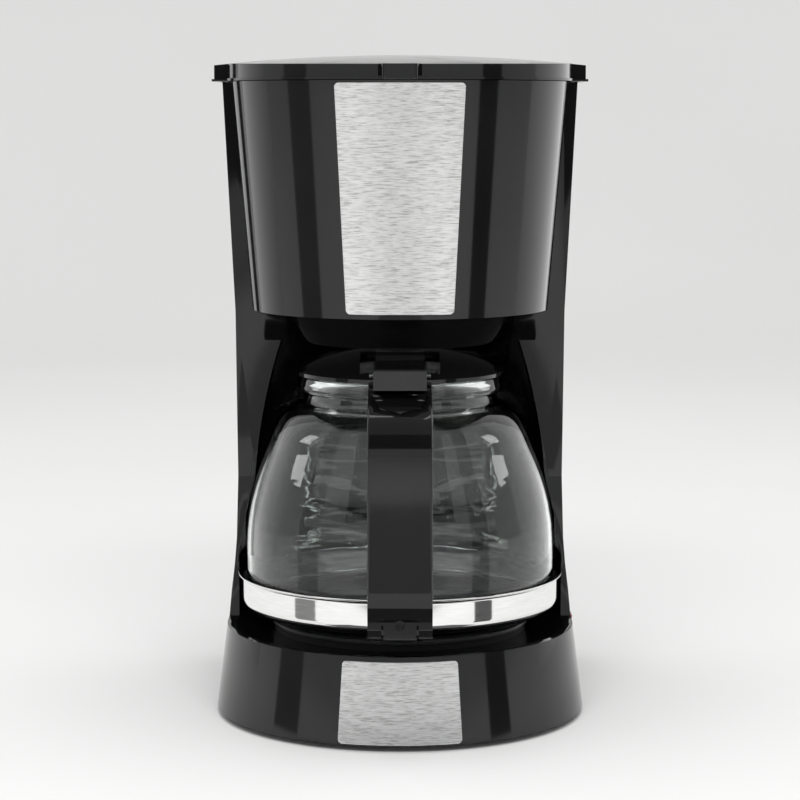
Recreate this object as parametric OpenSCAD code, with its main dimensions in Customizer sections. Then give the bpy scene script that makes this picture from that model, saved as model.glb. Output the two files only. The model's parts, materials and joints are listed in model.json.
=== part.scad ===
// Drip coffee maker: brew head and water tank over a warming base, with a glass carafe.
// Front faces -Y. Sizes along Y are counted from the brew axis, the vertical line through
// the middle of the warming plate, and shift_y then centres the machine on the origin.

/* [Base] */
// Half width of the skirt at its lower edge
skirt_low_r = 95; // [94:0.5:96]
// Half width of the skirt at its top edge
skirt_top_r = 89.5; // [89:0.5:90]
// Height of the skirt's lower edge above the table
skirt_z0 = 3; // [2.5:0.5:3]
// Height of the skirt's top edge
skirt_z1 = 46; // [45.5:0.5:46.5]
// Height of the warming plate's top face
plate_z = 49; // [48.8:0.1:49]
// Radius of the warming plate
plate_r = 66; // [62:1:68]

/* [Column and brew head] */
// Wall thickness of the moulded housings
wall = 2.4; // [2:0.1:2.6]
// Height of the joint line between base and upper housing
seam_z = 119.8; // [118:0.2:121]
// Height of the brew head's underside
head_z0 = 209; // [208:0.5:210]
// Height of the upper housing's rim
rim_z = 323.9; // [323:0.1:325]
// Radius of the brew head at its underside
head_low_r = 75.6; // [75:0.2:77]
// Radius of the brew head at its rim
head_top_r = 85; // [84:0.5:86]
// Half width of the column at the seam
column_seam_half = 84.4; // [84:0.2:85]
// Half width of the column at the rim
column_rim_half = 91; // [90:0.5:92]
// Distance of the column's front face behind the brew axis
column_front = 12; // [11:0.5:13]
// Distance of the back wall behind the brew axis
back_y = 135.5; // [135:0.5:138]
// Radius of the upright back corners
corner_r = 22; // [20:1:24]

/* [Carafe] */
// Largest radius of the glass
glass_r = 79.4; // [79:0.1:79.5]
// Radius of the glass at the neck
neck_r = 50; // [49:0.5:50.5]
// Glass thickness
glass_t = 2.2; // [1.8:0.1:2.5]
// Outer radius of the steel band's flared lip
band_lip_r = 83.7; // [83:0.1:84]
// Width of the handle
handle_w = 31; // [28:1:34]
// Distance of the grip's front face from the brew axis
handle_reach = 118; // [116:1:120]

/* [Lid] */
// Half width of the lid's flange
lid_half = 96.4; // [95.5:0.1:97]
// Height of the lid's crest above the table
crest_z = 337.5; // [336:0.5:338]
// Half width of the lifting tab
tab_half = 8.8; // [8:0.1:10]

/* [Hidden] */
$fn = 96;
eps = 0.01;
fit = 0.3;
big = 400;
gland_flange = 2.5;
shift_y = (handle_reach - back_y - gland_flange) / 2;

black = [0.07, 0.07, 0.075];
dark = [0.13, 0.13, 0.14];
steel = [0.80, 0.80, 0.80];
bright = [0.70, 0.71, 0.72];
clear = [0.80, 0.88, 0.90, 0.35];
silicone = [0.82, 0.80, 0.76];
rubber = [0.10, 0.10, 0.10];

// [half width, height] down the sides of the base's column
base_side = [[skirt_top_r, skirt_z1], [88.2, 60], [86.6, 73], [85.4, 87], [column_seam_half, seam_z]];
// [half width, height] up the sides of the upper column
upper_side = [[column_seam_half, seam_z], [85.2, 206.6], [column_rim_half, rim_z]];

deck_well_z = 43.5;
deck_under_z = 41.1;
deck_hole_r = 60;
recess_r = 85.2;
arch_r = 295.6;
arch_off = 219.4;
arch_mid_z = 100;

tank_half = 80;
tank_y0 = 90.5;
tank_y1 = back_y - wall - 0.4;
tank_z0 = 60;
tank_z1 = 316;
tank_wall = 1.8;

heater_r = 50;
plate_under = 38.8;
water_z = 34.6;
water_tube_r = 4;
heater_z = 24.2;
bracket_z = 18.4;
leg_end = 62;
hose_in = water_tube_r + 0.06;
hose_out = 5.5;
elbow_r = 12;
riser_y = 81.5;
riser_r = 4;
arm_z = 311;
tank_port_y = 112;

valve_z0 = 190.5;
basket_floor = 194.6;
cage_z = 214;
stem_r = 3.4;

hinge_y = 123.5;
hinge_z = 327.6;
hinge_pin_r = 1.5;
barrel_r = 3.5;
dome_r = 900;
lid_lip = 1.2;

switch_y = 86;
switch_z = 24.5;
switch_tilt = atan((skirt_low_r - skirt_top_r) / (skirt_z1 - skirt_z0));
switch_x = skirt_low_r - (switch_z - skirt_z0) * tan(switch_tilt);
rocker_rest = 7;

gland_x = 58;
gland_z = 21;

foot_xy = [[-60, -50], [60, -50], [-70, 112], [70, 112]];
screw_xy = [[-77, 20], [77, 20], [-40, 129.4], [40, 129.4]];

window_y0 = 98;
window_y1 = 108;
window_z0 = 138;
window_z1 = 300;

// ---- shape helpers ----

function arc(c, r, a0, a1, n) =
    [for (i = [0:n]) let (a = a0 + (a1 - a0) * i / n) [c[0] + r * cos(a), c[1] + r * sin(a)]];

function bezier(p0, p1, p2, p3, n) =
    [for (i = [0:n]) let (t = i / n, u = 1 - t)
        u * u * u * p0 + 3 * u * u * t * p1 + 3 * u * t * t * p2 + t * t * t * p3];

function back_corners(half, y1, r) =
    concat(arc([half - r, y1 - r], r, 0, 90, 8), arc([r - half, y1 - r], r, 90, 180, 8));

// plan of the base: round in front, straight sides, rounded back corners
function base_plan(half, y1, r) = concat(arc([0, 0], half, 180, 360, 48), back_corners(half, y1, r));

// plan of the column: flat in front, rounded back corners
function column_plan(half, y0, y1, r) = concat([[-half, y0], [half, y0]], back_corners(half, y1, r));

// an outline with each corner replaced by a short arc of radius r
function rounded(pts, r) =
    [for (i = [0:len(pts) - 1])
        let (n = len(pts), p = pts[i], q = pts[(i + n - 1) % n], s = pts[(i + 1) % n],
            u = (q - p) / norm(q - p), v = (s - p) / norm(s - p),
            half = acos(u * v) / 2, d = r / tan(half), m = (u + v) / norm(u + v),
            c = p + m * r / sin(half), a = p + u * d - c, b = p + v * d - c)
        for (k = [0:4]) let (w = a * (4 - k) + b * k) c + w * r / norm(w)];

function mirrored(side) =
    concat(side, [for (i = [len(side) - 1:-1:0]) [-side[i][0], side[i][1]]]);

// solid through a stack of outlines that all have the same number of points
module loft(plans, heights) {
    n = len(plans[0]);
    top = len(plans) - 1;
    polyhedron(
        points = [for (i = [0:top]) for (p = plans[i]) [p[0], p[1], heights[i]]],
        faces = concat(
            [[for (j = [0:n - 1]) j]],
            [[for (j = [n - 1:-1:0]) top * n + j]],
            [for (i = [0:top - 1]) for (j = [0:n - 1]) let (k = (j + 1) % n)
                [i * n + j, (i + 1) * n + j, (i + 1) * n + k]],
            [for (i = [0:top - 1]) for (j = [0:n - 1]) let (k = (j + 1) % n)
                [i * n + j, (i + 1) * n + k, i * n + k]]),
        convexity = 4);
}

module revolve(points) {
    rotate_extrude() polygon(points);
}

// prism along Y from an outline given in X and Z
module along_y(y0, y1) {
    translate([0, y1, 0]) rotate([90, 0, 0]) linear_extrude(y1 - y0) children();
}

// prism along X, centred, from an outline given in Y and Z
module along_x(width) {
    rotate([90, 0, 90]) translate([0, 0, -width / 2]) linear_extrude(width) children();
}

module ring(r0, r1, z0, z1) {
    translate([0, 0, z0]) difference() {
        cylinder(r = r1, h = z1 - z0);
        translate([0, 0, -1]) cylinder(r = r0, h = z1 - z0 + 2);
    }
}

module machine() {
    translate([0, shift_y, 0]) children();
}

// ---- housings ----

module skirt_solid(inset, z0, z1) {
    slope = (skirt_top_r - skirt_low_r) / (skirt_z1 - skirt_z0);
    low = skirt_low_r + slope * (z0 - skirt_z0) - inset;
    high = skirt_low_r + slope * (z1 - skirt_z0) - inset;
    loft([base_plan(low, back_y - inset, corner_r - inset),
        base_plan(high, back_y - inset, corner_r - inset)], [z0, z1]);
}

module column_solid(side, inset) {
    loft([for (s = side) column_plan(s[0] - inset, column_front + inset, back_y - inset, corner_r - inset)],
        [for (s = side) s[1]]);
}

// the bay behind the carafe in the base, widened by grow
module base_bay(z0, grow) {
    intersection() {
        translate([0, 0, z0]) cylinder(r = recess_r + grow, h = seam_z + 1 - z0);
        along_y(-big, big) polygon(mirrored([[86.2 + grow, 30], [86.2 + grow, 75],
            [80.8 + grow, 84], [80.5 + grow, 100], [75.5 + grow, seam_z], [75.5 + grow, seam_z + 2]]));
    }
}

// the arched bay behind the carafe in the upper housing, widened by grow
module upper_bay(grow) {
    intersection() {
        translate([0, 0, seam_z - 1]) cylinder(r = recess_r + grow, h = head_z0 + grow - seam_z + 1);
        along_y(-big, big) intersection() {
            translate([-arch_off, arch_mid_z]) circle(r = arch_r + grow, $fn = 360);
            translate([arch_off, arch_mid_z]) circle(r = arch_r + grow, $fn = 360);
        }
    }
}

module at_switch() {
    translate([switch_x, switch_y, switch_z]) rotate([0, -switch_tilt, 0]) children();
}

module base_housing() {
    color(black) machine() {
        difference() {
            union() {
                skirt_solid(0, skirt_z0, skirt_z1);
                column_solid(base_side, 0);
            }
            skirt_solid(wall, skirt_z0 - 1, deck_under_z);
            difference() {
                column_solid(concat([[skirt_top_r + 0.6, deck_under_z - 1]], base_side,
                    [[column_seam_half, seam_z + 1]]), wall);
                base_bay(deck_under_z, wall);
            }
            base_bay(skirt_z1, 0);
            revolve([[0, deck_well_z], [79, deck_well_z], [85.2, skirt_z1 + eps], [0, skirt_z1 + eps]]);
            cylinder(r = deck_hole_r, h = skirt_z1);
            at_switch() translate([-10, -6.5, -9.6]) cube([20, 13, 19.2]);
            translate([gland_x, back_y - 10, gland_z]) rotate([-90, 0, 0]) cylinder(r = 8, h = 20);
        }
        for (p = screw_xy) translate([p[0], p[1], 0]) ring(1.8, 4.5, 5.5, deck_under_z + 1);
        // ledges under the tank
        for (s = [-1, 1]) translate([s * 78 - 8, tank_y0 + 2, 52]) cube([16, 18, 7.6]);
    }
}

module base_trim_plate() {
    slope = (skirt_low_r - skirt_top_r) / (skirt_z1 - skirt_z0);
    color(steel) machine() intersection() {
        rotate_extrude() polygon([for (p = [[0.05, 3.8], [0.05, 43.8], [0.65, 43.8], [0.65, 3.8]])
            [skirt_low_r - slope * (p[1] - skirt_z0) + p[0], p[1]]]);
        along_y(-big, 0) polygon(rounded([[30.4, 3.8], [28.1, 43.8], [-28.1, 43.8], [-30.4, 3.8]], 2));
    }
}

module bottom_cover() {
    color(dark) machine() difference() {
        translate([0, 0, 3.2]) linear_extrude(2) polygon(base_plan(91.6, back_y - 3, corner_r - 3));
        for (p = screw_xy) translate([p[0], p[1], 0]) cylinder(r = 1.9, h = 10);
        for (i = [-4:4]) translate([-30, 40 + 7 * i - 2, 0]) cube([60, 3, 10]);
    }
}

module rubber_feet() {
    color(rubber) machine() for (p = foot_xy) translate([p[0], p[1], 0]) {
        cylinder(r1 = 8.2, r2 = 9, h = 1);
        translate([0, 0, 1]) cylinder(r = 9, h = 2.2);
    }
}

module bottom_screws() {
    color(bright) machine() for (p = screw_xy) translate([p[0], p[1], 0]) {
        translate([0, 0, 1.6]) cylinder(r1 = 2.6, r2 = 3.4, h = 1.6);
        translate([0, 0, 3.2]) cylinder(r = 1.7, h = 14);
    }
}

module warming_plate() {
    color(dark) machine() revolve([[0, plate_under], [deck_hole_r - 1, plate_under],
        [deck_hole_r - 1, plate_z - 2.6], [plate_r, plate_z - 2.6], [plate_r, plate_z - 0.8],
        [plate_r - 0.8, plate_z], [0, plate_z]]);
}

module plate_seal() {
    color(rubber) machine() ring(deck_hole_r - 0.9, plate_r - 1.5, deck_well_z, plate_z - 2.6);
}

// horseshoe under the warming plate: a half circle in front and two legs running back
module horseshoe(r, z, tube) {
    translate([0, 0, z]) {
        rotate([0, 0, 180]) rotate_extrude(angle = 180) translate([r, 0]) difference() {
            circle(r = tube);
            if (r == heater_r && z == water_z) circle(r = tube - 1.2);
        }
        for (s = [-1, 1]) translate([s * r, 0, 0]) rotate([-90, 0, 0]) difference() {
            cylinder(r = tube, h = leg_end);
            if (z == water_z) translate([0, 0, -1]) cylinder(r = tube - 1.2, h = leg_end + 2);
        }
    }
}

module heating_element() {
    color(bright) machine() {
        horseshoe(heater_r, heater_z, 3.6);
        for (s = [-1, 1]) translate([s * heater_r, leg_end, heater_z]) rotate([-90, 0, 0])
            cylinder(r = 1.4, h = 8);
    }
}

module water_tube() {
    color(bright) machine() horseshoe(heater_r, water_z, water_tube_r);
}

module heater_bracket() {
    color(bright) machine() difference() {
        union() {
            translate([-57, -7, bracket_z]) cube([114, 14, 2]);
            for (s = [-1, 1]) translate([s * 56 - 1, -7, bracket_z]) cube([2, 14, 14]);
        }
        translate([0, 0, 10]) cylinder(r = 2.1, h = 30);
    }
}

module bracket_nut() {
    color(steel) machine() {
        translate([0, 0, bracket_z - 5.6]) cylinder(r = 2, h = plate_under - bracket_z + 5.6);
        translate([0, 0, bracket_z - 3.4]) difference() {
            cylinder(r = 4.2, h = 3.2, $fn = 6);
            translate([0, 0, -1]) cylinder(r = 2, h = 6);
        }
    }
}

module thermostat() {
    color(steel) machine() translate([22, 14, 0]) {
        translate([0, 0, 31]) cylinder(r = 8, h = plate_under - 31);
        translate([0, 0, 26]) cylinder(r = 6.2, h = 5);
        for (s = [-1, 1]) translate([s * 3.5 - 0.4, -3, 22]) cube([0.8, 6, 4]);
    }
}

module thermal_fuse() {
    color(bright) machine() translate([-32, 14, 35.4]) rotate([0, 90, 0]) {
        cylinder(r = 3.2, h = 20);
        translate([0, 0, 20]) cylinder(r = 0.6, h = 7);
        translate([0, 0, -7]) cylinder(r = 0.6, h = 7);
    }
}

// hose that runs back along a leg and turns up
module hose(x, y_turn, top_z) {
    translate([x, leg_end - 10, water_z]) rotate([-90, 0, 0]) ring(hose_in, hose_out, 0, y_turn - leg_end - elbow_r + 10);
    translate([x, y_turn - elbow_r, water_z + elbow_r]) rotate([90, 0, 90]) rotate([0, 0, -90])
        rotate_extrude(angle = 90) translate([elbow_r, 0]) difference() {
            circle(r = hose_out);
            circle(r = hose_in);
        }
    translate([x, y_turn, 0]) ring(hose_in, hose_out, water_z + elbow_r, top_z);
}

module inlet_hose() {
    color(silicone) machine() hose(-heater_r, tank_port_y, 58);
}

module check_valve() {
    color(steel) machine() translate([-heater_r, 72, water_z]) rotate([-90, 0, 0]) {
        ring(1.6, hose_in - 0.05, 0, 12);
    }
}

module outlet_hose() {
    color(silicone) machine() hose(heater_r, riser_y, 60);
}

module hose_clamps() {
    color(steel) machine() for (s = [-1, 1]) {
        translate([s * heater_r, leg_end - 7, water_z]) rotate([-90, 0, 0])
            ring(hose_out + 0.05, hose_out + 0.7, 0, 5);
        translate([s * heater_r, s < 0 ? tank_port_y : riser_y, 0])
            ring(hose_out + 0.05, hose_out + 0.7, 51, 56);
    }
}

module switch_body() {
    color(black) machine() at_switch() difference() {
        union() {
            translate([0.05, -7.5, -10.5]) cube([1.8, 15, 21]);
            translate([-14, -6.4, -9.5]) cube([14.1, 12.8, 19]);
        }
        translate([-12.5, -5.8, -8.5]) cube([30, 11.6, 17]);
        translate([-2, 0, 0]) rotate([90, 0, 0]) cylinder(r = 1.06, h = 30, center = true);
    }
}

module switch_rocker() {
    color([0.55, 0.06, 0.05]) machine() at_switch() translate([-2, 0, 0]) rotate([0, rocker_rest, 0]) {
        along_y(-5.5, 5.5) polygon([[-4, -4], [-1, -7.2], [5.0, -7.6], [3.6, 0], [5.0, 7.6], [-1, 7.2], [-4, 4]]);
        rotate([90, 0, 0]) cylinder(r = 1, h = 12.4, center = true);
    }
}

module cord_gland() {
    color(black) machine() translate([gland_x, back_y, gland_z]) rotate([-90, 0, 0]) difference() {
        union() {
            translate([0, 0, -6]) cylinder(r = 7.9, h = 6.1);
            cylinder(r = 10, h = gland_flange);
            translate([0, 0, -8]) cylinder(r = 9.2, h = 2);
        }
        translate([0, 0, -20]) cylinder(r = 3.6, h = 40);
    }
}

module upper_housing() {
    head_slope = (head_top_r - head_low_r) / (rim_z - head_z0);
    color(black) machine() {
        difference() {
            union() {
                column_solid(upper_side, 0);
                translate([0, 0, head_z0]) cylinder(r1 = head_low_r, r2 = head_top_r, h = rim_z - head_z0);
            }
            difference() {
                column_solid([[column_seam_half, seam_z - 1], upper_side[1], [column_rim_half, rim_z + 1]], wall);
                upper_bay(wall);
            }
            upper_bay(0);
            translate([0, 0, head_z0 + wall]) cylinder(r1 = head_low_r + head_slope * wall - wall,
                r2 = head_top_r - wall, h = rim_z - head_z0 - wall + eps);
            cylinder(r = 59.8, h = big);
            window_cutter(0.2);
        }
        // ledge that carries the basket holder
        ring(72.8, 80.8, 288.5, 291);
        hinge_rail();
    }
}

// rail behind the lid and the two ears that hold the hinge pins
module hinge_rail() {
    rail_y = hinge_y + barrel_r + 1.7;
    difference() {
        intersection() {
            translate([-big, rail_y, rim_z - 8]) cube([2 * big, big, 12.4]);
            linear_extrude(big) polygon(column_plan(column_rim_half - 1, column_front, back_y, corner_r));
        }
        translate([-big, rail_y - 1, rim_z - 9]) cube([2 * big, back_y - wall - rail_y + 1.5, 9 - 2]);
    }
    for (s = [-1, 1]) difference() {
        translate([s * 58, 0, 0]) union() {
            translate([0, hinge_y, hinge_z]) rotate([0, 90, 0]) cylinder(r = 3.2, h = 7, center = true);
            translate([-3.5, hinge_y, hinge_z - 3.2]) cube([7, rail_y - hinge_y + 1, 3.9]);
        }
        translate([0, hinge_y, hinge_z]) rotate([0, 90, 0]) cylinder(r = hinge_pin_r + 0.02, h = 200, center = true);
    }
}

module upper_trim_plate() {
    slope = (head_top_r - head_low_r) / (rim_z - head_z0);
    color(steel) machine() intersection() {
        rotate_extrude() polygon([for (p = [[0.05, 211.4], [0.65, 211.4], [0.65, 322.8], [0.05, 322.8]])
            [head_low_r + slope * (p[1] - head_z0) + p[0], p[1]]]);
        along_y(-big, 0) polygon(rounded([[26.2, 211.4], [31.5, 322.8], [-31.5, 322.8], [-26.2, 211.4]], 2));
    }
}

module water_tank() {
    color(clear) machine() {
        difference() {
            translate([0, 0, tank_z0]) linear_extrude(tank_z1 - tank_z0)
                polygon(rounded([[-tank_half, tank_y0], [tank_half, tank_y0],
                    [tank_half, tank_y1], [-tank_half, tank_y1]], 18));
            translate([0, 0, tank_z0 + tank_wall]) linear_extrude(tank_z1)
                polygon(rounded([[tank_wall - tank_half, tank_y0 + tank_wall],
                    [tank_half - tank_wall, tank_y0 + tank_wall],
                    [tank_half - tank_wall, tank_y1 - tank_wall],
                    [tank_wall - tank_half, tank_y1 - tank_wall]], 18 - tank_wall));
            translate([-heater_r, tank_port_y, 0]) cylinder(r = 2.8, h = 100);
        }
        translate([-heater_r, tank_port_y, 0]) ring(2.8, hose_in - 0.05, 49, tank_z0 + eps);
    }
}

module window_cutter(grow) {
    translate([60, 0, 0]) rotate([90, 0, 90]) linear_extrude(60) polygon(rounded([
        [window_y0 - grow, window_z0 - grow], [window_y1 + grow, window_z0 - grow],
        [window_y1 + grow, window_z1 + grow], [window_y0 - grow, window_z1 + grow]], 4.5 + grow));
}

module level_window() {
    color(clear) machine() intersection() {
        window_cutter(0);
        difference() {
            column_solid(upper_side, -0.3);
            column_solid(upper_side, wall);
        }
    }
}

module riser_tube() {
    radial = norm([heater_r, riser_y]);
    color(bright) machine() rotate([0, 0, atan2(riser_y, heater_r)]) {
        translate([radial, 0, 0]) ring(riser_r - 1, riser_r, 50, arm_z - 10);
        translate([radial - 10, 0, arm_z - 10]) rotate([90, 0, 0]) rotate_extrude(angle = 90)
            translate([10, 0]) difference() {
                circle(r = riser_r);
                circle(r = riser_r - 1);
            }
    }
}

module spray_arm() {
    radial = norm([heater_r, riser_y]);
    color(dark) machine() rotate([0, 0, atan2(riser_y, heater_r)]) difference() {
        translate([0, 0, arm_z]) rotate([0, 90, 0]) cylinder(r = 5.6, h = radial - 10.2);
        translate([4, 0, arm_z]) rotate([0, 90, 0]) cylinder(r = 3.4, h = radial);
        translate([0, 0, arm_z - 10]) cylinder(r = 2.6, h = 10);
    }
}

module spray_head() {
    color(dark) machine() difference() {
        union() {
            translate([0, 0, 299]) cylinder(r = 24, h = 2);
            ring(22, 24, 301, 303.5);
            ring(1.5, 2.5, 301, 309);
        }
        for (i = [0:11]) rotate([0, 0, 30 * i]) translate([i % 2 == 0 ? 17 : 10, 0, 290]) cylinder(r = 1.5, h = 20);
    }
}

module basket_holder() {
    color(black) machine() revolve([[12, 192], [47, 192], [59, head_z0], [70, 291.3], [76.5, 291.3],
        [76.5, 293.3], [68, 293.3], [57, head_z0], [45.5, 194], [12, 194]]);
}

module filter_basket() {
    color(dark) machine() {
        revolve([[4.8, basket_floor], [43.5, basket_floor], [56, head_z0 + 1], [66.8, 293.6], [72, 293.6],
            [72, 295.2], [65, 295.2], [54.3, head_z0 + 2], [42.5, basket_floor + 1.7], [4.8, basket_floor + 1.7]]);
        ring(stem_r + 0.06, 14, cage_z, cage_z + 1.6);
        for (i = [0:2]) rotate([0, 0, 120 * i]) translate([12, 0, basket_floor + 1])
            cylinder(r = 1.4, h = cage_z - basket_floor - 0.9);
    }
}

module mesh_filter() {
    color([0.72, 0.62, 0.38]) machine() {
        revolve([[0, 219], [47.5, 219], [62.8, 292], [63.6, 295.5], [69.5, 295.5], [69.5, 296.4], [62.9, 296.4],
            [62, 292.2], [46.8, 219.8], [0, 219.8]]);
    }
}

module drip_valve() {
    color(dark) machine() {
        translate([0, 0, valve_z0]) cylinder(r = 4.6, h = 1.2);
        translate([0, 0, valve_z0 + 1.2]) cylinder(r = stem_r, h = 27);
        translate([0, 0, 202.8]) ring(stem_r - 0.5, 6.5, 0, 1.4);
    }
}

module valve_seal() {
    color(rubber) machine() ring(stem_r + 0.02, 7.5, 200.6, 202.8);
}

// coil between the valve's flange and the cage
module valve_spring() {
    turns = 4;
    steps = 12;
    wire = 0.45;
    coil_r = 4.7;
    z0 = 204.2 + wire;
    rise = cage_z - 204.2 - 2 * wire;
    sides = 6;
    rings = turns * steps + 1;
    color(steel) machine() polyhedron(
        points = [for (i = [0:rings - 1]) let (a = 360 * i / steps, z = z0 + rise * i / (rings - 1))
            for (k = [0:sides - 1]) let (b = 360 * k / sides, r = coil_r + wire * cos(b))
                [r * cos(a), r * sin(a), z + wire * sin(b)]],
        faces = concat(
            [[for (k = [0:sides - 1]) k]],
            [[for (k = [sides - 1:-1:0]) (rings - 1) * sides + k]],
            [for (i = [0:rings - 2]) for (k = [0:sides - 1]) let (n = (k + 1) % sides)
                [i * sides + k, (i + 1) * sides + k, (i + 1) * sides + n]],
            [for (i = [0:rings - 2]) for (k = [0:sides - 1]) let (n = (k + 1) % sides)
                [i * sides + k, (i + 1) * sides + n, i * sides + n]]),
        convexity = 10);
}

// ---- lid of the machine ----

// plan of the lid: round over the brew head, wider over the column
module lid_plan(inset) {
    side = lid_half - inset;
    front = column_front - 1 + inset;
    circle(r = head_top_r + 3 - inset);
    polygon(concat([[-side, front], [side, front]], arc([side - 8, hinge_y - 8], 8, 0, 90, 6),
        arc([8 - side, hinge_y - 8], 8, 90, 180, 6)));
}

module dome(drop) {
    translate([0, 18, crest_z - dome_r - drop]) sphere(r = dome_r, $fn = 240);
}

module lid_shell() {
    z0 = rim_z + fit;
    notch = 1.6;
    color(black) machine() difference() {
        union() {
            difference() {
                intersection() {
                    translate([0, 0, z0]) linear_extrude(30) lid_plan(lid_lip);
                    dome(0);
                }
                intersection() {
                    translate([0, 0, z0 - 1]) linear_extrude(30) lid_plan(lid_lip + wall);
                    dome(wall);
                }
            }
            // lip along the lower edge
            translate([0, 0, z0]) linear_extrude(1.2) difference() {
                lid_plan(0);
                lid_plan(lid_lip + wall);
            }
            // lifting tab
            translate([0, 0, z0]) linear_extrude(7.2) difference() {
                polygon(rounded([[-tab_half, -96.5], [tab_half, -96.5], [tab_half, -80], [-tab_half, -80]], 3));
                circle(r = head_top_r);
            }
            translate([-82, hinge_y, hinge_z]) rotate([0, 90, 0]) cylinder(r = barrel_r, h = 164);
        }
        for (s = [-1, 1]) {
            // notch beside the tab
            translate([s * (tab_half + notch / 2) - notch / 2, -90, z0 + notch]) cube([notch, 4.6, 20]);
            // gap for an ear of the hinge rail
            translate([s * 58 - 4, hinge_y - 4.4, z0 - 2]) cube([8, 20, 20]);
        }
        translate([0, hinge_y, hinge_z]) rotate([0, 90, 0]) cylinder(r = hinge_pin_r + 0.06, h = 200, center = true);
    }
}

module lid_liner() {
    color(dark) machine() translate([0, 0, rim_z + 0.6]) linear_extrude(1.2) difference() {
        intersection() {
            lid_plan(lid_lip + wall + 0.6);
            translate([-big, -big]) square([2 * big, big + hinge_y - 24]);
        }
        circle(r = 9);
    }
}

module lid_hinge_pins() {
    color(bright) machine() for (s = [-1, 1]) translate([s < 0 ? -80 : 54.5, hinge_y, hinge_z])
        rotate([0, 90, 0]) cylinder(r = hinge_pin_r, h = 25.5);
}

// ---- carafe ----

glass_foot_z = plate_z + fit;
glass_belly_z = 85;
neck_z = 165.5;
collar_r = 53;
collar_top = 175;
screw_z = 66.5;
tongue_y = -112;

function glass_outer() = concat(
    bezier([60, glass_foot_z], [73, glass_foot_z], [glass_r, 60], [glass_r, 76], 9),
    bezier([glass_r, glass_belly_z], [glass_r, 108], [73.7, 124], [68.4, 137.9], 9),
    bezier([67.5, 140.3], [64, 149.5], [61, 160], [51.4, 160.8], 9),
    [[neck_r, 162.3], [neck_r - 0.2, neck_z], [50.8, 167.2], [52.6, 168], [collar_r, 169.1],
        [51.9, 174.4], [51.3, collar_top]]);

function glass_inner() = concat(
    [[50.2, collar_top], [49, 171], [neck_r - glass_t, 166], [neck_r - glass_t, 161]],
    bezier([50.4, 158.6], [59.5, 158.2], [62, 148.6], [65.4, 139.5], 9),
    bezier([66.3, 137.1], [71.6, 123.2], [glass_r - glass_t, 107.5], [glass_r - glass_t, glass_belly_z], 9),
    bezier([glass_r - glass_t, 76], [glass_r - glass_t, 63], [73, glass_foot_z + 4],
        [58, glass_foot_z + 4], 9));

module carafe_glass() {
    color(clear) machine() revolve(concat([[0, glass_foot_z]], glass_outer(), glass_inner(), [[0, glass_foot_z + 4]]));
}

module carafe_band() {
    roll = [75.5, 60.5];
    color(steel) machine() revolve(concat(arc(roll, 6, -75, 0, 8),
        [[81.5, 70.6], [band_lip_r, 72.2], [band_lip_r, 73], [80.9, 71.4], [80.7, 70.8]],
        arc(roll, 5.2, 0, -75, 8)));
}

module carafe_handle() {
    grip = 14;
    tongue_half = 7.9;
    front = -handle_reach;
    color(black) machine() difference() {
        along_x(handle_w) polygon(concat(
            [[-50, 176], [-78, 176]],
            bezier([-84, 175.6], [-100, 173], [front, 166], [front, 148], 10),
            bezier([front, 84], [front, 77], [-115, 72.5], [tongue_y, 68], 8),
            [[tongue_y, 60.5], [tongue_y + 1.2, 59.3], [-100, 58], [-80, 58], [-80, 72.5], [-86, 74.5]],
            bezier([-90, 75], [-98, 76], [front + grip, 80], [front + grip, 90], 6),
            bezier([front + grip, 142], [front + grip, 154], [-92, 161], [-78, 162.5], 6),
            [[-50, 163.5]]));
        translate([0, 0, 55]) cylinder(r = band_lip_r + 0.4, h = 30);
        translate([0, 0, 160]) cylinder(r = collar_r + fit, h = 20);
        // bore, seat and dish of the screw
        translate([0, -80, screw_z]) rotate([90, 0, 0]) cylinder(r = 1.35, h = 60);
        translate([0, -91.5, screw_z]) rotate([90, 0, 0]) cylinder(r = 2, h = 60);
        translate([0, 0.8 + tongue_y, screw_z]) rotate([90, 0, 0]) cylinder(r = 2.7, h = 20);
        for (s = [-1, 1]) {
            // slot beside the tongue, and the side foot's hollowed front
            translate([s * (tongue_half + 0.5) - 0.5, -130, 50]) cube([1, 36, 16.5]);
            translate([s * (tongue_half + 9), 0, 0]) along_x(18) polygon([[-130, 50], [-130, 66],
                [-113.5, 66], [-110, 63], [-108.6, 60], [-106, 58.6], [-100, 50]]);
        }
    }
}

module handle_screw() {
    color(bright) machine() {
        translate([0, -84.2, screw_z]) rotate([90, 0, 0]) cylinder(r = 1.25, h = 7.3);
        translate([0, -91.5, screw_z]) rotate([90, 0, 0]) cylinder(r = 1.9, h = 1.6);
    }
}

module carafe_lid() {
    color(black) machine() difference() {
        union() {
            revolve(concat([[0, 186.6]],
                bezier([7, 186.6], [24, 186], [42, 182.4], [45.4, 177], 6),
                [[45.4, 167.5], [46.9, 167.5], [46.9, 175.3], [53.2, 175.3], [53.2, 177.2]],
                bezier([51.6, 178.2], [46, 184.5], [24, 188.4], [8, 189], 10),
                [[6, 190.2], [0, 190.2]]));
            along_x(25.5) polygon([[-98, 177.1], [-98, 186.4], [-97.3, 187.1], [-56, 187.1], [-48, 180], [-48, 177.1]]);
            along_x(23.6) polygon([[-96, 187], [-62, 192.2], [-61, 194.1], [-57, 194.1], [-54, 187]]);
        }
        translate([0, -64, 181]) rotate([0, 90, 0]) cylinder(r = 1.52, h = 60, center = true);
        translate([-20, -60, 186.5]) rotate([-25, 0, 0]) cube([40, 40, 20]);
        // holes that let the coffee through
        for (i = [0:5]) rotate([0, 0, 60 * i + 30]) translate([13, 0, 180]) cylinder(r = 3, h = 20);
    }
}

module carafe_lid_pin() {
    color(bright) machine() translate([-15, -64, 181]) rotate([0, 90, 0]) cylinder(r = 1.5, h = 30);
}

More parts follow.
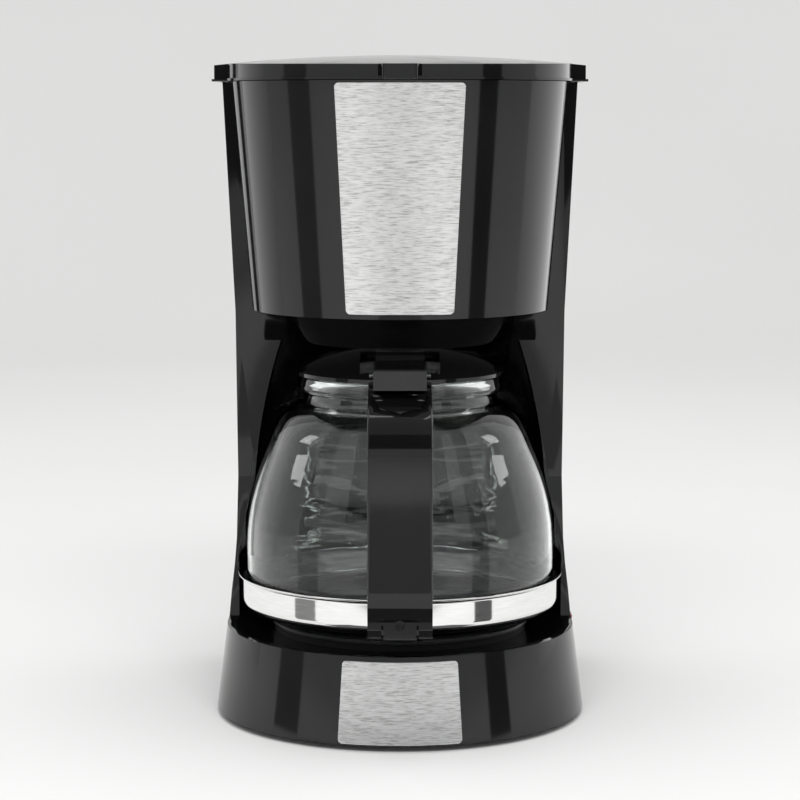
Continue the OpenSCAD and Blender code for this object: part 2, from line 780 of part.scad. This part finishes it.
base_housing();
base_trim_plate();
bottom_cover();
rubber_feet();
bottom_screws();
warming_plate();
plate_seal();
heating_element();
water_tube();
heater_bracket();
bracket_nut();
thermostat();
thermal_fuse();
inlet_hose();
check_valve();
outlet_hose();
hose_clamps();
switch_body();
switch_rocker();
cord_gland();
upper_housing();
upper_trim_plate();
water_tank();
level_window();
riser_tube();
spray_arm();
spray_head();
basket_holder();
filter_basket();
mesh_filter();
drip_valve();
valve_seal();
valve_spring();
lid_shell();
lid_liner();
lid_hinge_pins();
carafe_glass();
carafe_band();
carafe_handle();
handle_screw();
carafe_lid();
carafe_lid_pin();
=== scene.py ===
"""Drip coffee maker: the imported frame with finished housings, carafe, trim and materials."""

import json
import math

import bmesh
import bpy
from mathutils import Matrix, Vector


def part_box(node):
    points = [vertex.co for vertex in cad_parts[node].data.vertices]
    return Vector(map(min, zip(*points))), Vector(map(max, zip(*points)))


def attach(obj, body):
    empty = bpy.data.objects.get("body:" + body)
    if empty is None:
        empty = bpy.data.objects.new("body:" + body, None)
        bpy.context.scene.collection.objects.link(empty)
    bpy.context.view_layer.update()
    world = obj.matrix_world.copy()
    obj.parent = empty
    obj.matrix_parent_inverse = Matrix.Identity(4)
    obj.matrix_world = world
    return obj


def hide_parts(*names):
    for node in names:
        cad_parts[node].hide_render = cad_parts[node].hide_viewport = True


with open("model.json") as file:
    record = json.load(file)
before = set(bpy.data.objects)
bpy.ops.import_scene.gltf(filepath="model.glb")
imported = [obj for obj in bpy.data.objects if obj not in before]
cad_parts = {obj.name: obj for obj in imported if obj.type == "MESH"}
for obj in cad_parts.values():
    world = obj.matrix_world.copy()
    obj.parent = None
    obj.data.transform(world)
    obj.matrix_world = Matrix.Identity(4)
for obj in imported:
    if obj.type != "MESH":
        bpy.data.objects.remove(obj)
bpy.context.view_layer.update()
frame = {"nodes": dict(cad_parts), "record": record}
NODES = frame["nodes"]
SLOTS = {part["node"]: part["material_slot"] for part in frame["record"]["subparts"]}
MM = 0.001

# the upright line through the middle of the carafe, round which it and the brew head are turned
glass_low, glass_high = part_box("carafe_glass")
AXIS = Vector(((glass_low.x + glass_high.x) / 2, (glass_low.y + glass_high.y) / 2, 0))


# ---- modelling helpers ----


def deselect():
    """Leaves nothing selected and no object in edit mode."""
    if bpy.context.object and bpy.context.object.mode != "OBJECT":
        bpy.ops.object.mode_set(mode="OBJECT")
    bpy.ops.object.select_all(action="DESELECT")


def take(obj):
    """Makes obj the only selected and the active object."""
    deselect()
    obj.select_set(True)
    bpy.context.view_layer.objects.active = obj
    return obj


def named(name):
    """Names the primitive that was just added, and its mesh."""
    obj = bpy.context.object
    obj.name = name
    obj.data.name = name
    return obj


def settle(obj):
    """Puts the object's place and turn into its mesh."""
    take(obj)
    bpy.ops.object.transform_apply(location=True, rotation=True, scale=True)
    return obj


def apply_modifier(obj, kind, **settings):
    """Adds a modifier with its settings and applies it."""
    take(obj)
    modifier = obj.modifiers.new(kind.lower(), kind)
    for key, value in settings.items():
        setattr(modifier, key, value)
    bpy.ops.object.modifier_apply(modifier=modifier.name)
    return obj


def smooth(obj, angle):
    """Shades the piece smooth across every edge flatter than angle, in degrees."""
    take(obj)
    bpy.ops.object.shade_smooth_by_angle(angle=math.radians(angle))
    return obj


def soften(obj, width, segments):
    """Rounds every edge sharper than 35 degrees by width millimetres, then shades it smooth."""
    apply_modifier(obj, "BEVEL", width=width * MM, segments=segments, limit_method="ANGLE",
                   angle_limit=math.radians(35), harden_normals=False, use_clamp_overlap=True)
    return smooth(obj, 40)


def round_normals(obj):
    """Shades every face that is turned about the carafe's axis as the true round surface."""
    near_level, on_axis, almost_straight = 0.3, 0.01, 0.994
    mesh = obj.data
    normals = [corner.vector.copy() for corner in mesh.corner_normals]
    for face in mesh.polygons:
        level = face.normal.xy
        spoke = (face.center - AXIS).xy
        if level.length < near_level or spoke.length < on_axis:
            continue
        facing = level.normalized().dot(spoke.normalized())
        if abs(facing) < almost_straight:
            continue
        for corner in face.loop_indices:
            way = (mesh.vertices[mesh.loops[corner].vertex_index].co - AXIS).xy.normalized()
            way = way * level.length * math.copysign(1, facing)
            normals[corner] = Vector((way.x, way.y, face.normal.z))
    mesh.normals_split_custom_set(normals)
    return obj


def cad_copy(node, name):
    """A merged copy of a CAD node's mesh, its flat faces made whole again."""
    obj = NODES[node].copy()
    obj.data = NODES[node].data.copy()
    for key in list(obj.keys()):
        del obj[key]
    obj.parent = None
    obj.name = name
    obj.data.name = name
    bpy.context.scene.collection.objects.link(obj)
    take(obj)
    bpy.ops.object.mode_set(mode="EDIT")
    bpy.ops.mesh.select_all(action="SELECT")
    bpy.ops.mesh.remove_doubles(threshold=0.02 * MM)
    bpy.ops.mesh.dissolve_limited(angle_limit=math.radians(1))
    bpy.ops.mesh.normals_make_consistent(inside=False)
    bpy.ops.object.mode_set(mode="OBJECT")
    return obj


def stands_for(obj, body, *nodes):
    """The piece rides on body and takes the place of the CAD nodes, which it hides."""
    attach(obj, body)
    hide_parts(*nodes)
    return obj


def paint(obj, material):
    """Gives the whole piece one material."""
    obj.data.materials.clear()
    obj.data.materials.append(material)
    return obj


# ---- material helpers ----


def rgb(code):
    """An sRGB hex colour as the linear colour that shaders take."""
    parts = [int(code[i:i + 2], 16) / 255 for i in (1, 3, 5)]
    linear = [c / 12.92 if c <= 0.04045 else ((c + 0.055) / 1.055) ** 2.4 for c in parts]
    return (*linear, 1.0)


def add(tree, kind, inputs, **properties):
    """Adds a node and returns its outputs. Each input takes a plain value or another's output."""
    made = tree.nodes.new(kind)
    for key, value in properties.items():
        setattr(made, key, value)
    for key, value in inputs.items():
        if isinstance(value, bpy.types.NodeSocket):
            tree.links.new(value, made.inputs[key])
        else:
            made.inputs[key].default_value = value
    return made.outputs


def new_material(name, **shader):
    """A material with its shader's own sockets set."""
    material = bpy.data.materials.new(name)
    material.use_nodes = True
    tree = material.node_tree
    surface = tree.nodes["Principled BSDF"]
    for key, value in shader.items():
        surface.inputs[key.replace("_", " ")].default_value = value
    return material, tree, surface


def speckle(tree, repeats, detail=3.0, roughness=0.5, stretch=(1, 1, 1)):
    """A random pattern laid over the piece, with so many repeats a metre."""
    place = add(tree, "ShaderNodeTexCoord", {})["Object"]
    placed = add(tree, "ShaderNodeMapping", {"Vector": place, "Scale": stretch})["Vector"]
    return add(tree, "ShaderNodeTexNoise", {"Vector": placed, "Scale": repeats, "Detail": detail,
                                            "Roughness": roughness})["Fac"]


def follow(tree, surface, pattern, tones=(), roughness=None, relief=None):
    """Lets a surface follow a pattern.

    Tones are colours with their places in the pattern, roughness goes from low to high, and
    relief is the height of the bumps in metres and their strength.
    """
    if tones:
        colour = add(tree, "ShaderNodeValToRGB", {"Fac": pattern})["Color"]
        stops = colour.node.color_ramp.elements
        while len(stops) < len(tones):
            stops.new(0.5)
        for stop, (place, code) in zip(stops, tones):
            stop.position = place
            stop.color = rgb(code)
        tree.links.new(colour, surface.inputs["Base Color"])
    if roughness:
        low, high = roughness
        span = add(tree, "ShaderNodeMapRange", {"Value": pattern, "To Min": low, "To Max": high})
        tree.links.new(span["Result"], surface.inputs["Roughness"])
    if relief:
        height, strength = relief
        bump = add(tree, "ShaderNodeBump", {"Height": pattern, "Distance": height,
                                            "Strength": strength})
        tree.links.new(bump["Normal"], surface.inputs["Normal"])


def two_tones(dark, light):
    """A dark and a light colour at the usual ends of a random pattern."""
    return (0.3, dark), (0.7, light)


# ---- materials ----


def gloss_black():
    """High-gloss black ABS, moulded in a polished tool: mirror-like, with a faint waviness."""
    material, tree, surface = new_material("gloss_black_abs", IOR=1.5)
    follow(tree, surface, speckle(tree, 30, 2), two_tones("#0b0b0c", "#101011"))
    # rubbed patches about 5 mm wide
    follow(tree, surface, speckle(tree, 180, 4, 0.6), roughness=(0.05, 0.12))
    # sink marks about 20 mm wide
    follow(tree, surface, speckle(tree, 45, 1), relief=(0.00003, 0.25))
    return material


def satin_black():
    """Black polypropylene with a fine spark-eroded grain of about 0.4 mm."""
    material, tree, surface = new_material("satin_black_polypropylene", IOR=1.49)
    follow(tree, surface, speckle(tree, 2500, 3, 0.6), two_tones("#111112", "#1a1a1b"),
           (0.38, 0.52), (0.0001, 0.5))
    return material


def brushed_steel():
    """Stainless sheet brushed across: short level scratches, 3 to 6 mm long and 0.5 mm high."""
    material, tree, surface = new_material("brushed_stainless_steel", Metallic=1.0)
    scratches = speckle(tree, 1500, 4, 0.62, (0.12, 0.12, 1.0))
    fine = speckle(tree, 4200, 2, 0.5, (0.04, 0.04, 1.0))
    both = add(tree, "ShaderNodeMath", {0: scratches, 1: fine}, operation="ADD")["Value"]
    halved = add(tree, "ShaderNodeMath", {0: both, 1: 0.5}, operation="MULTIPLY")["Value"]
    follow(tree, surface, halved, ((0.38, "#bcbcbb"), (0.48, "#efefee"), (0.57, "#ffffff")))
    follow(tree, surface, speckle(tree, 22, 2), roughness=(0.34, 0.46))
    follow(tree, surface, scratches, relief=(0.00012, 0.6))
    return material


def metal(name, repeats, dark, light, roughness, detail=3, stretch=(1, 1, 1)):
    """A bare metal whose tone and roughness follow one cloudy or drawn-out pattern."""
    material, tree, surface = new_material(name, Metallic=1.0)
    follow(tree, surface, speckle(tree, repeats, detail, 0.5, stretch), two_tones(dark, light),
           roughness)
    return material


def plate_coating():
    """Black non-stick coating on the warming plate, sprayed, with an orange peel of about 1 mm."""
    material, tree, surface = new_material("nonstick_plate_coating", IOR=1.4)
    follow(tree, surface, speckle(tree, 900), two_tones("#161617", "#202021"), (0.28, 0.4),
           (0.00008, 0.4))
    return material


def clear_glass():
    """Blown borosilicate: colourless, with faint waves round it, left by the turning mould."""
    material, tree, surface = new_material("borosilicate_glass", IOR=1.47,
                                           Transmission_Weight=1.0, Roughness=0.0)
    follow(tree, surface, speckle(tree, 110, 2, 0.5, (0.12, 0.12, 1.0)),
           two_tones("#f6faf9", "#fcfefd"), relief=(0.0006, 0.35))
    return material


def smoked_clear(name, dark, light, roughness):
    """Moulded clear or cloudy SAN plastic, slightly grey."""
    material, tree, surface = new_material(name, IOR=1.57, Transmission_Weight=0.85)
    follow(tree, surface, speckle(tree, 120), two_tones(dark, light),
           (roughness, roughness + 0.08))
    return material


def soft_rubber(name, dark, light, roughness):
    """Moulded rubber, silicone or soft plastic: dull, with a fine bloom of about 1 mm."""
    material, tree, surface = new_material(name, IOR=1.45)
    follow(tree, surface, speckle(tree, 800, 4), two_tones(dark, light),
           (roughness - 0.08, roughness + 0.08), (0.00005, 0.4))
    return material


def woven(name, dark, light, pitch):
    """A plain weave with its threads pitch millimetres apart."""
    material, tree, surface = new_material(name, Roughness=0.7)
    place = add(tree, "ShaderNodeTexCoord", {})["Object"]
    # at scale 1 the wave node makes one band in every 6.283 / 20 of a metre
    bands = [add(tree, "ShaderNodeTexWave",
                 {"Vector": place, "Scale": 1 / (pitch * MM) / 20 * 6.283, "Distortion": 0.4},
                 bands_direction=way)["Fac"] for way in "XZ"]
    weave = add(tree, "ShaderNodeMath", {0: bands[0], 1: bands[1]}, operation="MULTIPLY")["Value"]
    follow(tree, surface, weave, ((0.1, dark), (0.8, light)), relief=(0.0002, 0.6))
    return material


# the finish of each material slot of the record
MATERIALS = {
    "black_gloss": gloss_black(),
    "black_moulded": satin_black(),
    "dark_plastic": soft_rubber("dark_grey_polypropylene", "#1d1d1e", "#29292a", 0.4),
    # glass fibre sleeving, braided, its threads drawn 1.2 mm apart so that they show
    "fuse_sleeve": woven("glass_fibre_sleeve", "#a9a595", "#dcd8ca", 1.2),
    "brushed_trim": brushed_steel(),
    # polished stainless strip: a bright mirror with faint drawing lines round it
    "polished_band": metal("polished_stainless_steel", 1800, "#eeeeed", "#fbfbfa", (0.05, 0.1),
                           2, (0.05, 0.05, 1.0)),
    "plate_coating": plate_coating(),
    # extruded aluminium of the flow heater: pale, with patches of about 1.5 mm
    "heater_aluminium": metal("extruded_aluminium", 700, "#b4b6b8", "#d2d3d4", (0.35, 0.5)),
    # zinc-plated steel of screws, pins and clips: grey, slightly cloudy
    "plain_steel": metal("zinc_plated_steel", 500, "#9a9c9e", "#c4c5c6", (0.25, 0.42)),
    "silicone": soft_rubber("white_silicone", "#c9c4b6", "#dedacd", 0.45),
    "black_rubber": soft_rubber("black_rubber", "#131313", "#1e1e1e", 0.65),
    "rocker_red": soft_rubber("red_rocker_plastic", "#7d0f0b", "#8f1610", 0.25),
    "tank_clear": smoked_clear("cloudy_tank_plastic", "#c2c9cc", "#d3d9db", 0.2),
    "window_clear": smoked_clear("clear_window_plastic", "#9aa1a4", "#aab0b3", 0.05),
    # woven nylon filter cloth, its threads drawn 0.9 mm apart so that they show
    "nylon_mesh": woven("woven_nylon_mesh", "#6b5322", "#b8964a", 0.9),
    "glass": clear_glass(),
}

for node, slot in SLOTS.items():
    paint(NODES[node], MATERIALS[slot])


# ---- pieces ----


def finished(node, body, edge, segments=3):
    """The CAD part with its edges rounded by edge millimetres, as a mould or a press does."""
    piece = round_normals(soften(cad_copy(node, node + "_finished"), edge, segments))
    paint(piece, MATERIALS[SLOTS[node]])
    return stands_for(piece, body, node)


def pick_edges(obj, wanted):
    """Selects the edges of obj, in edit mode, for which wanted says yes."""
    take(obj)
    bpy.ops.object.mode_set(mode="EDIT")
    bpy.ops.mesh.select_mode(type="EDGE")
    bpy.ops.mesh.select_all(action="DESELECT")
    mesh = bmesh.from_edit_mesh(obj.data)
    for edge in mesh.edges:
        edge.select_set(wanted(edge))
    bmesh.update_edit_mesh(obj.data)


def carafe_handle():
    """The grip with its two long outlines rounded, and the seam under the thumb lever."""
    handle = cad_copy("carafe_handle", "carafe_handle_grip")
    low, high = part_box("carafe_handle")
    half_width = (high.x - low.x) / 2 - 0.1 * MM
    above_foot, before_collar = low.z + 18 * MM, AXIS.y - 56 * MM

    def on_outline(edge):
        """Sharp edges of the two side faces of the loop."""
        return (all(abs(v.co.x - AXIS.x) > half_width and v.co.z > above_foot
                    and v.co.y < before_collar for v in edge.verts)
                and len(edge.link_faces) == 2 and edge.calc_face_angle() > math.radians(60))

    pick_edges(handle, on_outline)
    bpy.ops.mesh.bevel(offset=1.2 * MM, segments=4, affect="EDGES", clamp_overlap=False)
    bpy.ops.object.mode_set(mode="OBJECT")
    cut_seam(handle)
    smooth(handle, 35)
    paint(handle, MATERIALS[SLOTS["carafe_handle"]])
    return stands_for(handle, "carafe", "carafe_handle")


def cut_seam(handle):
    """Cuts the parting seam below the lever: level, turned up at both ends, with a small notch."""
    left_half = [(-13.2, -90.8, 174.2), (-12.2, -96.8, 172.4), (-9.9, -104.3, 169.1),
                 (-3, -106.8, 167.7), (-1.2, -107.4, 167.3)]
    notch = [(0, -108.2, 166.7)]
    path = left_half + notch + [(-x, y, z) for x, y, z in left_half[::-1]]
    points = [Vector((AXIS.x + x * MM, AXIS.y + y * MM, z * MM)) for x, y, z in path]
    thick, depth = 0.8 * MM, 1.6 * MM
    deselect()
    bpy.ops.mesh.primitive_plane_add(size=thick, rotation=(math.radians(90), 0, 0),
                                     location=points[0] - Vector((thick / 2, depth / 2, 0)))
    cutter = settle(named("seam_cutter"))
    pick_edges(cutter, lambda edge: all(v.co.x > points[0].x - thick / 4 for v in edge.verts))
    for here, there in zip(points, points[1:]):
        bpy.ops.mesh.extrude_edges_move(TRANSFORM_OT_translate={"value": there - here})
    bpy.ops.mesh.select_all(action="SELECT")
    bpy.ops.mesh.extrude_region_move(TRANSFORM_OT_translate={"value": (0, depth, 0)})
    bpy.ops.mesh.select_all(action="SELECT")
    bpy.ops.mesh.normals_make_consistent(inside=False)
    bpy.ops.object.mode_set(mode="OBJECT")
    apply_modifier(handle, "BOOLEAN", operation="DIFFERENCE", solver="EXACT", object=cutter)
    take(cutter)
    bpy.ops.object.delete()


def turned(name, profile):
    """A closed ring turned about the carafe's axis from a profile of (radius, height) in mm."""
    deselect()
    radius, height = profile[0]
    bpy.ops.mesh.primitive_circle_add(vertices=192, radius=radius * MM,
                                      location=(AXIS.x, AXIS.y, height * MM))
    piece = named(name)
    settle(piece)
    bpy.ops.object.mode_set(mode="EDIT")
    bpy.ops.mesh.select_all(action="SELECT")
    for r, z in profile[1:] + profile[:1]:
        bpy.ops.mesh.extrude_edges_move(TRANSFORM_OT_translate={"value": (0, 0, (z - height) * MM)})
        grow = r / radius
        bpy.ops.transform.resize(value=(grow, grow, 1), center_override=tuple(AXIS))
        radius, height = r, z
    bpy.ops.mesh.select_all(action="SELECT")
    bpy.ops.mesh.remove_doubles(threshold=0.01 * MM)
    bpy.ops.mesh.normals_make_consistent(inside=False)
    bpy.ops.object.mode_set(mode="OBJECT")
    return piece


def curve(p0, p1, p2, p3, count):
    """Points along a Bezier curve, count steps from p0 to p3."""
    steps = [i / count for i in range(count + 1)]
    return [tuple((1 - t) ** 3 * a + 3 * (1 - t) ** 2 * t * b + 3 * (1 - t) * t * t * c + t ** 3 * d
                  for a, b, c, d in zip(p0, p1, p2, p3)) for t in steps]


def carafe_glass():
    """The blown body: thick foot, round belly, drawn-in shoulder and a rolled collar."""
    foot, thick_foot, belly, neck, wall, pin_hole = 49.3, 4, 79.4, 50, 2.2, 0.4
    outside = curve((60, foot), (73, foot), (belly, 60), (belly, 76), 14)
    outside += curve((belly, 85), (belly, 108), (73.7, 124), (68.4, 137.9), 16)
    outside += curve((67.5, 140.3), (64, 149.5), (61, 160), (51.4, 160.8), 16)
    outside += [(neck + 0.4, 161.3), (neck, 162.3), (neck - 0.2, 163.9), (neck - 0.2, 165.5),
                (50.1, 166.5), (50.8, 167.2), (51.9, 167.6), (52.6, 168), (53, 169.1),
                (52.9, 169.8), (51.95, 174.2), (51.7, 174.8), (51.3, 175)]
    inside = [(50.4, 175), (50.1, 174.8), (49, 171), (48.1, 168), (neck - wall, 165),
              (neck - wall, 162)]
    inside += curve((48.2, 160.4), (48.5, 158.6), (62, 158.6), (65.4, 139.5), 16)
    inside += curve((66.3, 137.1), (71.6, 123.2), (belly - wall, 107.5), (belly - wall, 85), 16)
    inside += curve((belly - wall, 76), (belly - wall, 63), (73, foot + thick_foot),
                    (58, foot + thick_foot), 14)
    glass = turned("carafe_glass_blown", [(pin_hole, foot)] + outside + inside
                   + [(pin_hole, foot + thick_foot)])
    # close the pin hole that the lathe leaves in the middle of the foot
    take(glass)
    bpy.ops.object.mode_set(mode="EDIT")
    bpy.ops.mesh.select_mode(type="VERT")
    for z in (foot, foot + thick_foot):
        bpy.ops.mesh.select_all(action="DESELECT")
        mesh = bmesh.from_edit_mesh(glass.data)
        for vertex in mesh.verts:
            near = (vertex.co.xy - AXIS.xy).length < 2 * pin_hole * MM
            vertex.select_set(near and abs(vertex.co.z - z * MM) < 0.5 * MM)
        mesh.select_flush_mode()
        bmesh.update_edit_mesh(glass.data)
        bpy.ops.mesh.merge(type="CENTER")
    bpy.ops.object.mode_set(mode="OBJECT")
    smooth(glass, 60)
    paint(glass, MATERIALS["glass"])
    return stands_for(glass, "carafe", "carafe_glass")


def carafe_band():
    """The steel band: rolled in under the belly, straight, with a flared lip."""
    angles = [math.radians(-75 + 7.5 * i) for i in range(11)]
    centre_r, centre_z, outer, inner = 75.5, 60.5, 6, 5.2
    roll_outside, roll_inside = ([(centre_r + bend * math.cos(a), centre_z + bend * math.sin(a))
                                  for a in angles] for bend in (outer, inner))
    wall_and_lip = [(81.5, 61), (81.5, 69.9), (81.5, 70.4), (81.7, 70.9), (83.4, 72.0),
                    (83.7, 72.3), (83.7, 72.8), (83.4, 72.9), (81.0, 71.5), (80.7, 71.0),
                    (80.7, 70.4), (80.7, 61)]
    band = smooth(turned("carafe_band_rolled", roll_outside + wall_and_lip + roll_inside[::-1]), 50)
    paint(band, MATERIALS[SLOTS["carafe_band"]])
    # the strip's inside is left dull, with marks of the rolling about 2.5 mm long, and is painted
    # far darker than steel as painted shade between the band and the glass
    band.data.materials.append(metal("dull_steel_with_painted_shade", 400, "#55565a", "#74757a",
                                     (0.45, 0.6), 3, (0.3, 0.3, 1.0)))
    for face in band.data.polygons:
        spoke = face.center - AXIS
        if face.normal.dot(spoke) < -0.5 * spoke.xy.length:
            face.material_index = 1
    return stands_for(band, "carafe", "carafe_band")


finished("base_housing", "machine", 1.0)
finished("upper_housing", "machine", 0.8)
finished("basket_holder", "machine", 0.6)
finished("base_trim_plate", "machine", 0.2, 2)
finished("upper_trim_plate", "machine", 0.2, 2)
finished("warming_plate", "machine", 0.4, 2)
finished("lid_shell", "lid", 1.4, 4)
carafe_handle()
finished("carafe_lid", "carafe", 0.6)
finished("switch_body", "machine", 0.5)
finished("switch_rocker", "rocker", 0.6)
finished("cord_gland", "machine", 0.8)
finished("rubber_feet", "machine", 0.4)
finished("bottom_cover", "machine", 0.4, 2)
carafe_glass()
carafe_band()


# ---- studio ----


def glossy_only(obj):
    """Keeps a reflection card out of every ray but a mirrored one."""
    obj.visible_camera = False
    obj.visible_diffuse = False
    obj.visible_transmission = False
    obj.visible_shadow = False


def panel(name, place, turn, size, left, right=None):
    """A plane that only mirrors see. Its glow goes from left to right, or is left all over."""
    deselect()
    bpy.ops.mesh.primitive_plane_add(size=1, location=place, rotation=turn)
    card = named(name)
    card.scale = (*size, 1)
    material, tree, surface = new_material(name, Roughness=0.9, Base_Color=rgb("#000000"),
                                           Specular_IOR_Level=0.0, Emission_Color=rgb("#ffffff"))
    on_card = add(tree, "ShaderNodeTexCoord", {})["Object"]
    across = add(tree, "ShaderNodeSeparateXYZ", {"Vector": on_card})["X"]
    from_left = add(tree, "ShaderNodeMath", {0: across, 1: 0.5}, operation="ADD")["Value"]
    glow = add(tree, "ShaderNodeMapRange", {"Value": from_left, "To Min": left,
                                            "To Max": left if right is None else right})
    tree.links.new(glow["Result"], surface.inputs["Emission Strength"])
    paint(card, material)
    glossy_only(card)
    return card


def seen_in_glass(card):
    """Lets a card be seen through and inside glass only."""
    card.visible_glossy = False
    card.visible_transmission = True


def around(azimuth, distance, height=0.0):
    """A point at an azimuth in degrees, counted from the front towards the right."""
    a = math.radians(azimuth)
    return (AXIS.x + distance * math.sin(a), AXIS.y - distance * math.cos(a), height)


def upright(azimuth):
    """The turn of a plane that stands up and faces the machine from an azimuth."""
    return (math.radians(90), 0, math.radians(azimuth))


def softbox(name, place, aim, size, power):
    """A soft rectangular light of so many watts that looks at a point."""
    light = bpy.data.lights.new(name, "AREA")
    light.shape = "RECTANGLE"
    light.size, light.size_y = size
    light.energy = power
    obj = bpy.data.objects.new(name, light)
    obj.location = place
    obj.rotation_euler = (Vector(aim) - Vector(place)).to_track_quat("-Z", "Y").to_euler()
    bpy.context.scene.collection.objects.link(obj)
    return obj


def sweep():
    """A pale floor that curves up into a pale wall."""
    material, tree, surface = new_material("studio_paper", Roughness=0.6, Specular_IOR_Level=0.0)
    follow(tree, surface, speckle(tree, 1.2, 2), two_tones("#ededec", "#f1f1f0"))
    deselect()
    bpy.ops.mesh.primitive_plane_add(size=10, location=(0, -3.2, 0))
    floor = settle(named("studio_floor"))
    pick_edges(floor, lambda edge: all(v.co.y > 1.5 for v in edge.verts))
    radius, steps, wall = 1.6, 12, 3
    for i in range(steps):
        a, b = math.pi / 2 * i / steps, math.pi / 2 * (i + 1) / steps
        rise = (0, radius * (math.sin(b) - math.sin(a)), radius * (math.cos(a) - math.cos(b)))
        bpy.ops.mesh.extrude_edges_move(TRANSFORM_OT_translate={"value": rise})
    bpy.ops.mesh.extrude_edges_move(TRANSFORM_OT_translate={"value": (0, 0, wall)})
    bpy.ops.mesh.select_all(action="SELECT")
    bpy.ops.mesh.normals_make_consistent(inside=False)
    bpy.ops.object.mode_set(mode="OBJECT")
    take(floor)
    bpy.ops.object.shade_smooth()
    paint(floor, material)


def studio():
    """The sweep, soft lights, reflection cards and the camera."""
    sweep()
    world = bpy.data.worlds.new("studio_world")
    bpy.context.scene.world = world
    world.use_nodes = True
    background = world.node_tree.nodes["Background"]
    background.inputs["Color"].default_value = rgb("#eff0f0")
    background.inputs["Strength"].default_value = 0.78

    front = softbox("front_light", (0, -2.2, 2.2), (0, -0.5, 0.0), (2.4, 0.8), 42)
    front.visible_glossy = False
    softbox("top_light", (0, 0.1, 2.4), (0, 0, 0), (1.6, 1.2), 12)

    level, middle, tall = (0, 0, 0), 0.4, 0.8
    for name, azimuth, width, left, right in (
            ("glow_left", -112, 0.30, 1.35, 0.75),
            ("glow_right", 121, 0.50, 1.0, 1.6),
            ("flag_left_edge", -137, 0.07, 0.02, 0.02),
            ("flag_right_edge", 157, 0.10, 0.1, 0.1)):
        panel(name, around(azimuth, 0.5, middle), upright(azimuth), (width, tall), left, right)
    # the two dark strips beside the machine stand close, so that the skirt mirrors them too
    panel("flag_left", around(-59.5, 0.22, middle), upright(-68), (0.058, tall), 0.24)
    panel("flag_right", around(51, 0.22, middle), upright(60), (0.046, tall), 0.1)
    # painted highlights in the glass: level glowing strips and two bright windows that are seen in
    # the glass and nowhere else
    for side in (-1, 1):
        beside, abreast = 48 * side, 92 * side
        for height, glow in ((0.03, 1.5), (0.10, 0.15), (0.16, 1.3), (0.23, 0.15), (0.31, 1.6)):
            seen_in_glass(panel("strip", around(beside, 0.45, height), upright(beside),
                                (0.42, 0.028), glow))
        seen_in_glass(panel("window", around(abreast, 0.5, 0.36), upright(abreast),
                            (0.12, 0.22), 7))
    # dark cards over, under and in front of the carafe, for its steel, glass and lid to mirror; two
    # of them are painted shade, one in the gap under the funnel and one on the floor just in front
    # of the machine
    # painted shade: a dark card in the gap between the funnel and the carafe lid
    panel("gap_painted_shade", around(0, 0.02, 0.1912), level, (0.14, 0.11), 0.02)
    panel("dim_floor", around(0, 0.8, 0.002), level, (0.5, 0.85), 0.5)
    panel("dark_ceiling", around(0, 1.36, 1.42), upright(0), (2.4, 2.0), 0.06)
    panel("dark_canopy", around(0, 0.75, 1.5), level, (2.4, 1.5), 0.3)
    # painted shade: a dark card on the floor just in front of the machine, seen in the gloss black
    # and through the glass
    floor_painted_shade = panel("floor_painted_shade", around(0, 0.135, 0.001), level, (0.20, 0.07), 0.12)
    floor_painted_shade.visible_transmission = True

    distance, eye_height, looks_down = 1.270, 0.3096, 6.66
    camera = bpy.data.cameras.new("camera")
    camera.sensor_width = 36
    camera.lens = 111.7
    camera.clip_end = 60
    eye = bpy.data.objects.new("camera", camera)
    eye.location = around(0, distance, eye_height)
    eye.rotation_euler = (math.radians(90 - looks_down), 0, 0)
    bpy.context.scene.collection.objects.link(eye)
    bpy.context.scene.camera = eye
    bpy.context.scene.view_settings.view_transform = "Standard"


studio()
